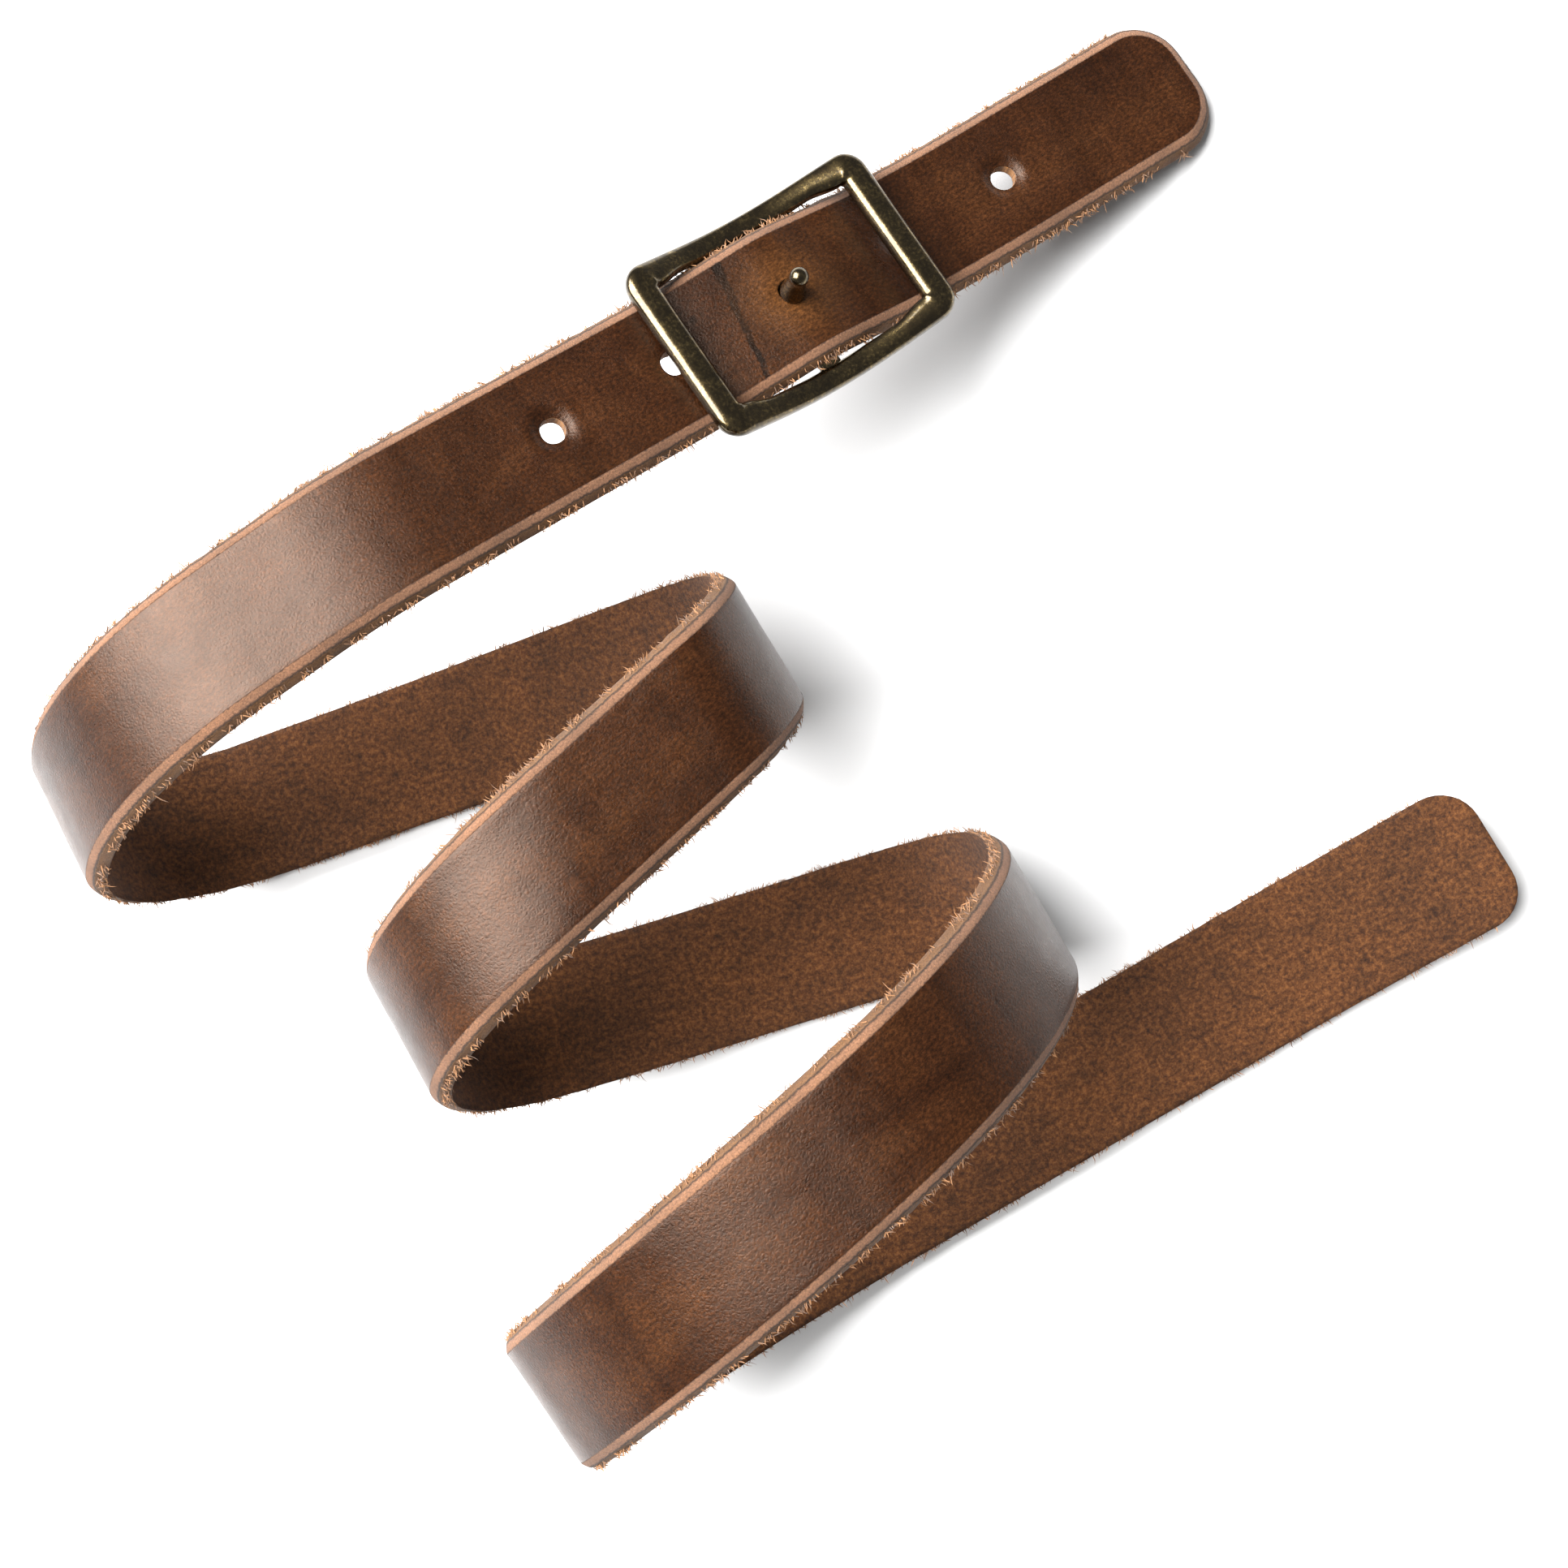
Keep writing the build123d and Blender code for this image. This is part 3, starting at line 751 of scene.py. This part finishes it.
def piece(name, low, high, ends):
    """One closed length of the strap, from row low to row high, with its fibres.

    ends says whether the strap's own rounded end closes it, at its low and its high row.
    """
    keep = [f for f in range(len(strip.faces))
            if min(strip_row[list(strip.faces[f])]) >= low
            and max(strip_row[list(strip.faces[f])]) <= high]
    used = sorted({a for f in keep for a in strip.faces[f]})
    index = {a: i for i, a in enumerate(used)}
    points = [world[a] for a in used]
    faces = [tuple(index[a] for a in strip.faces[f]) for f in keep]
    kinds = [strip.kind[f] for f in keep]
    uvs = [uv for f in keep for uv in strip.uv[f]]
    loops_normal = [normals[a] for f in keep for a in strip.faces[f]]
    for row, closed in ((low, ends[0]), (high, ends[1])):
        if closed:
            continue
        ring = (list(grain[row]) + list(edges[1][row]) + list(flesh[row][::-1])
                + list(edges[-1][row][::-1]))
        ring = ring[::-1] if row == high else ring
        faces.append(tuple(index[a] for a in ring))
        kinds.append(2)
        uvs += [(strip.flat[a][0] / 10, strip.flat[a][1] / 10) for a in ring]
        facing = unit(frames(np.array([row_s[row]]))[1][0]) * (1 if row == high else -1)
        loops_normal += [facing] * len(ring)
    a = 0.0 if ends[0] else row_s[low] + STRAND_MARGIN
    b = LENGTH if ends[1] else row_s[high] - STRAND_MARGIN
    for side in (1, -1):
        for _ in range(int((b - a) * FIBRES_PER_MM)):
            u = random.uniform(max(a, TIP_R), min(b, LENGTH - TAIL_R))
            if random.random() > 0.45 + 0.9 * rough(u, side, 4, 40):
                continue
            hair, hair_faces = fibre(u, side, random.uniform(-1.55, 0.35))
            base = len(points)
            points += list(hair)
            for f in hair_faces:
                faces.append(tuple(base + i for i in f))
                kinds.append(3)
                uvs += [(u / 10 + side * 50, base * 0.01)] * len(f)
                e1, e2 = hair[f[1]] - hair[f[0]], hair[f[2]] - hair[f[0]]
                loops_normal += [unit(np.cross(e1, e2) + 1e-12)] * len(f)
    mesh = bpy.data.meshes.new(name)
    mesh.from_pydata([tuple(p) for p in points], [], faces)
    layer = mesh.uv_layers.new(name="flat")
    layer.data.foreach_set("uv", np.array(uvs, np.float32).ravel())
    for material in LEATHER:
        mesh.materials.append(material)
    mesh.polygons.foreach_set("material_index", np.array(kinds, np.int32))
    mesh.polygons.foreach_set("use_smooth", np.ones(len(faces), bool))
    mesh.update()
    mesh.normals_split_custom_set(np.array(loops_normal).tolist())
    made = bpy.data.objects.new(name, mesh)
    bpy.context.scene.collection.objects.link(made)
    return made


edges_of = [0] + [x for low, high, _, _ in cuts for x in (low, high)] + [ROWS - 1]
for k, body in enumerate(BODIES):
    strand = piece(f"strand_{k + 1}", edges_of[2 * k], edges_of[2 * k + 1], (k == 0, k == 5))
    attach(strand, body)
    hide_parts(CAD_NODES[k])
for k, (low, high, parent_at, child_at) in enumerate(cuts):
    bend = piece(f"bend_{k + 1}", low, high, (False, False))
    joint = joint_of[JOINTS[k]]
    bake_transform(bend)

# ---- buckle: x to the strap's tip, z out of the grain side, from the strap's middle at the stud -------
at, along, out, across, _ = (x[0] for x in frames(np.array([STUD_S])))
to_tip, side_way = -along, np.cross(out, -along)


def buckle_place(points):
    """The buckle's own coordinates in mm to metres, leaning about its centre bar."""
    x, y, z = np.asarray(points, float).T
    c, k = math.cos(math.radians(FRAME_ROCK)), math.sin(math.radians(FRAME_ROCK))
    rise = z - CENTRE_MID
    p = np.stack([x * c - rise * k, y - FRAME_SHIFT, x * k + rise * c + CENTRE_MID], -1)
    return (at + p[:, :1] * to_tip + p[:, 1:2] * side_way + p[:, 2:] * out) * MM


def make(name, points, faces, uvs):
    """A smooth brass object of these points in metres."""
    mesh = bpy.data.meshes.new(name)
    mesh.from_pydata([tuple(p) for p in points], [], faces)
    layer = mesh.uv_layers.new(name="flat")
    layer.data.foreach_set("uv", np.array(uvs, np.float32).ravel())
    mesh.materials.append(BRASS)
    mesh.polygons.foreach_set("use_smooth", np.ones(len(faces), bool))
    mesh.update()
    made = bpy.data.objects.new(name, mesh)
    bpy.context.scene.collection.objects.link(made)
    return made


def rounded(half_w, half_h, power=3.4):
    """A soft rectangle's outline."""
    out = []
    for i in range(COUNT):
        g = 2 * math.pi * (i + 0.5) / COUNT
        c, s = math.cos(g), math.sin(g)
        out.append((math.copysign(abs(c) ** (2 / power), c) * half_w,
                    math.copysign(abs(s) ** (2 / power), s) * half_h))
    return out


OUT_X, OUT_Y, OUT_R = 30.1, 20.8, 5.0          # the frame's outline and its window, mm
IN_X, IN_Y, IN_R = 23.8, 14.8, 0.7
FRAME_ROCK = 2.0                              # degrees the tail-side bar leans down on the strap
FRAME_SHIFT = 0.4                             # the strap lies this far off the frame's midline
CENTRE_MID = -3.55                            # the CAD centre bar's middle, about which it leans
BAR_MID, BAR_H, RAIL_MID, RAIL_H = 1.35, 4.4, -3.85, 3.8     # heights of the bars and rails
RAIL_BULGE = 0.35                             # of the rails' outer edges, at their middle
WINDOW_WIDENING, WIDENING_SHARE = 1.4, 0.32   # of the window, away from its corners
COUNT = 24                                    # points round a bar's section


def sag(x):
    """0 at the frame's middle, 1 at its end bars."""
    x = min(1.0, abs(x) / (IN_X + 1.5))
    return x * x * (1.35 - 0.35 * x * x)


def corner_pair(sx, g):
    """Outer and inner points of the corner at x sign sx, y positive, g from 0 to 90 degrees."""
    c, s = math.cos(math.radians(g)), math.sin(math.radians(g))
    return ((sx * (OUT_X - OUT_R + OUT_R * c), OUT_Y - OUT_R + OUT_R * s),
            (sx * (IN_X - IN_R + IN_R * c), IN_Y - IN_R + IN_R * s))


pairs = []                                    # (outer point, inner point) round half the frame
for t in np.linspace(-1, 1, 19):
    pairs.append(((OUT_X, t * (OUT_Y - OUT_R)), (IN_X, t * (IN_Y - IN_R))))
pairs += [corner_pair(1, g) for g in np.linspace(0, 90, 10)[1:]]
for t in np.linspace(1, -1, 47)[1:-1]:
    x_out, x_in = t * (OUT_X - OUT_R), t * (IN_X - IN_R)
    bulge = RAIL_BULGE * (1 - t * t)
    widening = WINDOW_WIDENING * smooth((1 - abs(t)) / WIDENING_SHARE)
    pairs.append(((x_out, OUT_Y + bulge), (x_in, IN_Y + widening)))
pairs += [corner_pair(-1, g) for g in np.linspace(90, 0, 10)]
pairs = pairs[:-1] + [((-a[0], -a[1]), (-b[0], -b[1])) for a, b in pairs[:-1]]
ring, ring_faces, ring_uv = [], [], []
for (xo, yo), (xi, yi) in pairs:
    x, y = (xo + xi) / 2, (yo + yi) / 2
    level = sag(x)
    z, h = RAIL_MID + (BAR_MID - RAIL_MID) * level, (RAIL_H + (BAR_H - RAIL_H) * level ** 2) / 2
    for a, b in rounded(1.0, h, 2.9):
        ring.append((x + (xo - xi) / 2 * a, y + (yo - yi) / 2 * a, z + b))
for i in range(len(pairs)):
    for j in range(COUNT):
        n, m = (i + 1) % len(pairs), (j + 1) % COUNT
        ring_faces.append((i * COUNT + j, n * COUNT + j, n * COUNT + m, i * COUNT + m))
        q0, q1 = (j + 0.5) / COUNT, (j + 1.5) / COUNT
        ring_uv += [(i / 10, q0), ((i + 1) / 10, q0), ((i + 1) / 10, q1), (i / 10, q1)]
frame_piece = make("buckle_ring", buckle_place(ring), ring_faces, ring_uv)

CENTRE_HALF_W, CENTRE_HALF_H, CENTRE_REACH = 2.4, 1.45, 1.4      # reach is past the strap's sides
bar, bar_faces, bar_uv = [], [], []
ys = np.linspace(-(HALF_W + CENTRE_REACH), HALF_W + CENTRE_REACH, 9)
for y in ys:
    for a, b in rounded(CENTRE_HALF_W, CENTRE_HALF_H):
        bar.append((a, y, RAIL_MID + b))
for i in range(len(ys) - 1):
    for j in range(COUNT):
        m = (j + 1) % COUNT
        bar_faces.append((i * COUNT + j, (i + 1) * COUNT + j, (i + 1) * COUNT + m, i * COUNT + m))
        bar_uv += [(i / 5, 0.1)] * 4
bar_faces += [tuple(range(COUNT)), tuple(range(len(bar) - 1, len(bar) - 1 - COUNT, -1))]
bar_uv += [(0, 0.1)] * (2 * COUNT)
centre_bar = make("buckle_centre_bar", buckle_place(bar), bar_faces, bar_uv)

# the stud, turned: (radius, height) from the rivet head under the bar up to its ball
TOP, BALL_R, STUD_HEIGHT = HALF_T, 2.05, 8.6
profile = [(0.0, -5.9), (2.3, -5.9), (2.6, -5.6), (2.6, -5.05), (1.5, -5.0), (1.5, -2.1), (2.25, -2.0),
           (2.25, TOP - 0.5), (2.72, TOP - 0.25), (2.75, TOP + 0.15), (2.68, TOP + 0.6),
           (2.48, TOP + 1.5), (2.2, TOP + 3.0), (1.98, TOP + 4.6), (1.9, TOP + 5.4)]
ball = TOP + STUD_HEIGHT - BALL_R
profile += [(BALL_R * math.cos(math.radians(g)), ball + BALL_R * math.sin(math.radians(g)))
            for g in range(-20, 90, 11)] + [(0.0, ball + BALL_R)]
stud, stud_faces, stud_uv, turns = [], [], [], 36
rings = []
for r, z in profile:
    if r == 0:
        stud.append((0, 0, z))
        rings.append([len(stud) - 1] * turns)
    else:
        rings.append(list(range(len(stud), len(stud) + turns)))
        stud += [(r * math.cos(2 * math.pi * k / turns), r * math.sin(2 * math.pi * k / turns), z)
                 for k in range(turns)]
for i, (a, b) in enumerate(zip(rings, rings[1:])):
    q = 0.5 if profile[i][1] > ball - 0.5 else 0.15
    for k in range(turns):
        m = (k + 1) % turns
        ids = list(dict.fromkeys((a[k], a[m], b[m], b[k])))
        stud_faces.append(tuple(ids))
        stud_uv += [(i / 8, q)] * len(ids)
stud_piece = make("buckle_stud_pin", buckle_place(stud), stud_faces, stud_uv)
for made in (frame_piece, centre_bar, stud_piece):
    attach(made, "buckle")
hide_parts("buckle_frame")
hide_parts("buckle_stud")

# ---- floor, light and camera ---------------------------------------------------------------------------
FLOOR_HALF, FLOOR_Z = 4.0, -5e-5                # metres; just under the strap
FLOOR_ALBEDO, WORLD_STRENGTH = 0.60, 0.30
KEY_AT, KEY_SIZE, KEY_POWER = (-1.16, 0.36, 1.72), (2.0, 1.9), 275       # metres and watts

floor_mesh = bpy.data.meshes.new("floor")
floor_corners = [(x * FLOOR_HALF, y * FLOOR_HALF, FLOOR_Z) for x, y in ((-1, -1), (1, -1), (1, 1), (-1, 1))]
floor_mesh.from_pydata(floor_corners, [], [(0, 1, 2, 3)])
floor = bpy.data.objects.new("floor", floor_mesh)
bpy.context.scene.collection.objects.link(floor)
paper = Shader("white_paper")
paper.set(Base_Color=(FLOOR_ALBEDO,) * 3 + (1,), Roughness=0.9, Specular_IOR_Level=0.1)
floor_mesh.materials.append(paper.mat)
floor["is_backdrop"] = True

world_light = bpy.data.worlds.new("studio")
world_light.use_nodes = True
background = world_light.node_tree.nodes["Background"]
background.inputs["Color"].default_value = (1, 1, 1, 1)
background.inputs["Strength"].default_value = WORLD_STRENGTH
bpy.context.scene.world = world_light


def softbox(name, place_m, size, power):
    """A rectangular light that faces the object."""
    light = bpy.data.lights.new(name, "AREA")
    light.shape, light.size, light.size_y, light.energy = "RECTANGLE", size[0], size[1], power
    lamp = bpy.data.objects.new(name, light)
    bpy.context.scene.collection.objects.link(lamp)
    lamp.location = place_m
    lamp.rotation_mode = "QUATERNION"
    lamp.rotation_quaternion = (-Vector(place_m)).to_track_quat("-Z", "Y")


softbox("key", KEY_AT, KEY_SIZE, KEY_POWER)

# the view of the photo
camera = bpy.data.cameras.new("camera")
camera.lens, camera.sensor_width = 48.33, 36.0
camera.clip_start, camera.clip_end = 0.01, 20
camera_at = Vector((0.04494, -0.01815, 0.4758))
look_at = Vector((-0.00186, -0.01399, 0.0))
forward = (look_at - camera_at).normalized()
right = Vector((0.99516, 0.0, -0.09789)).normalized()
up = right.cross(forward)
shot = bpy.data.objects.new("camera", camera)
bpy.context.scene.collection.objects.link(shot)
shot.matrix_world = Matrix.Translation(camera_at) @ Matrix((right, up, -forward)).transposed().to_4x4()
bpy.context.scene.camera = shot
bpy.context.scene.view_settings.view_transform = "Standard"

low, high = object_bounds()
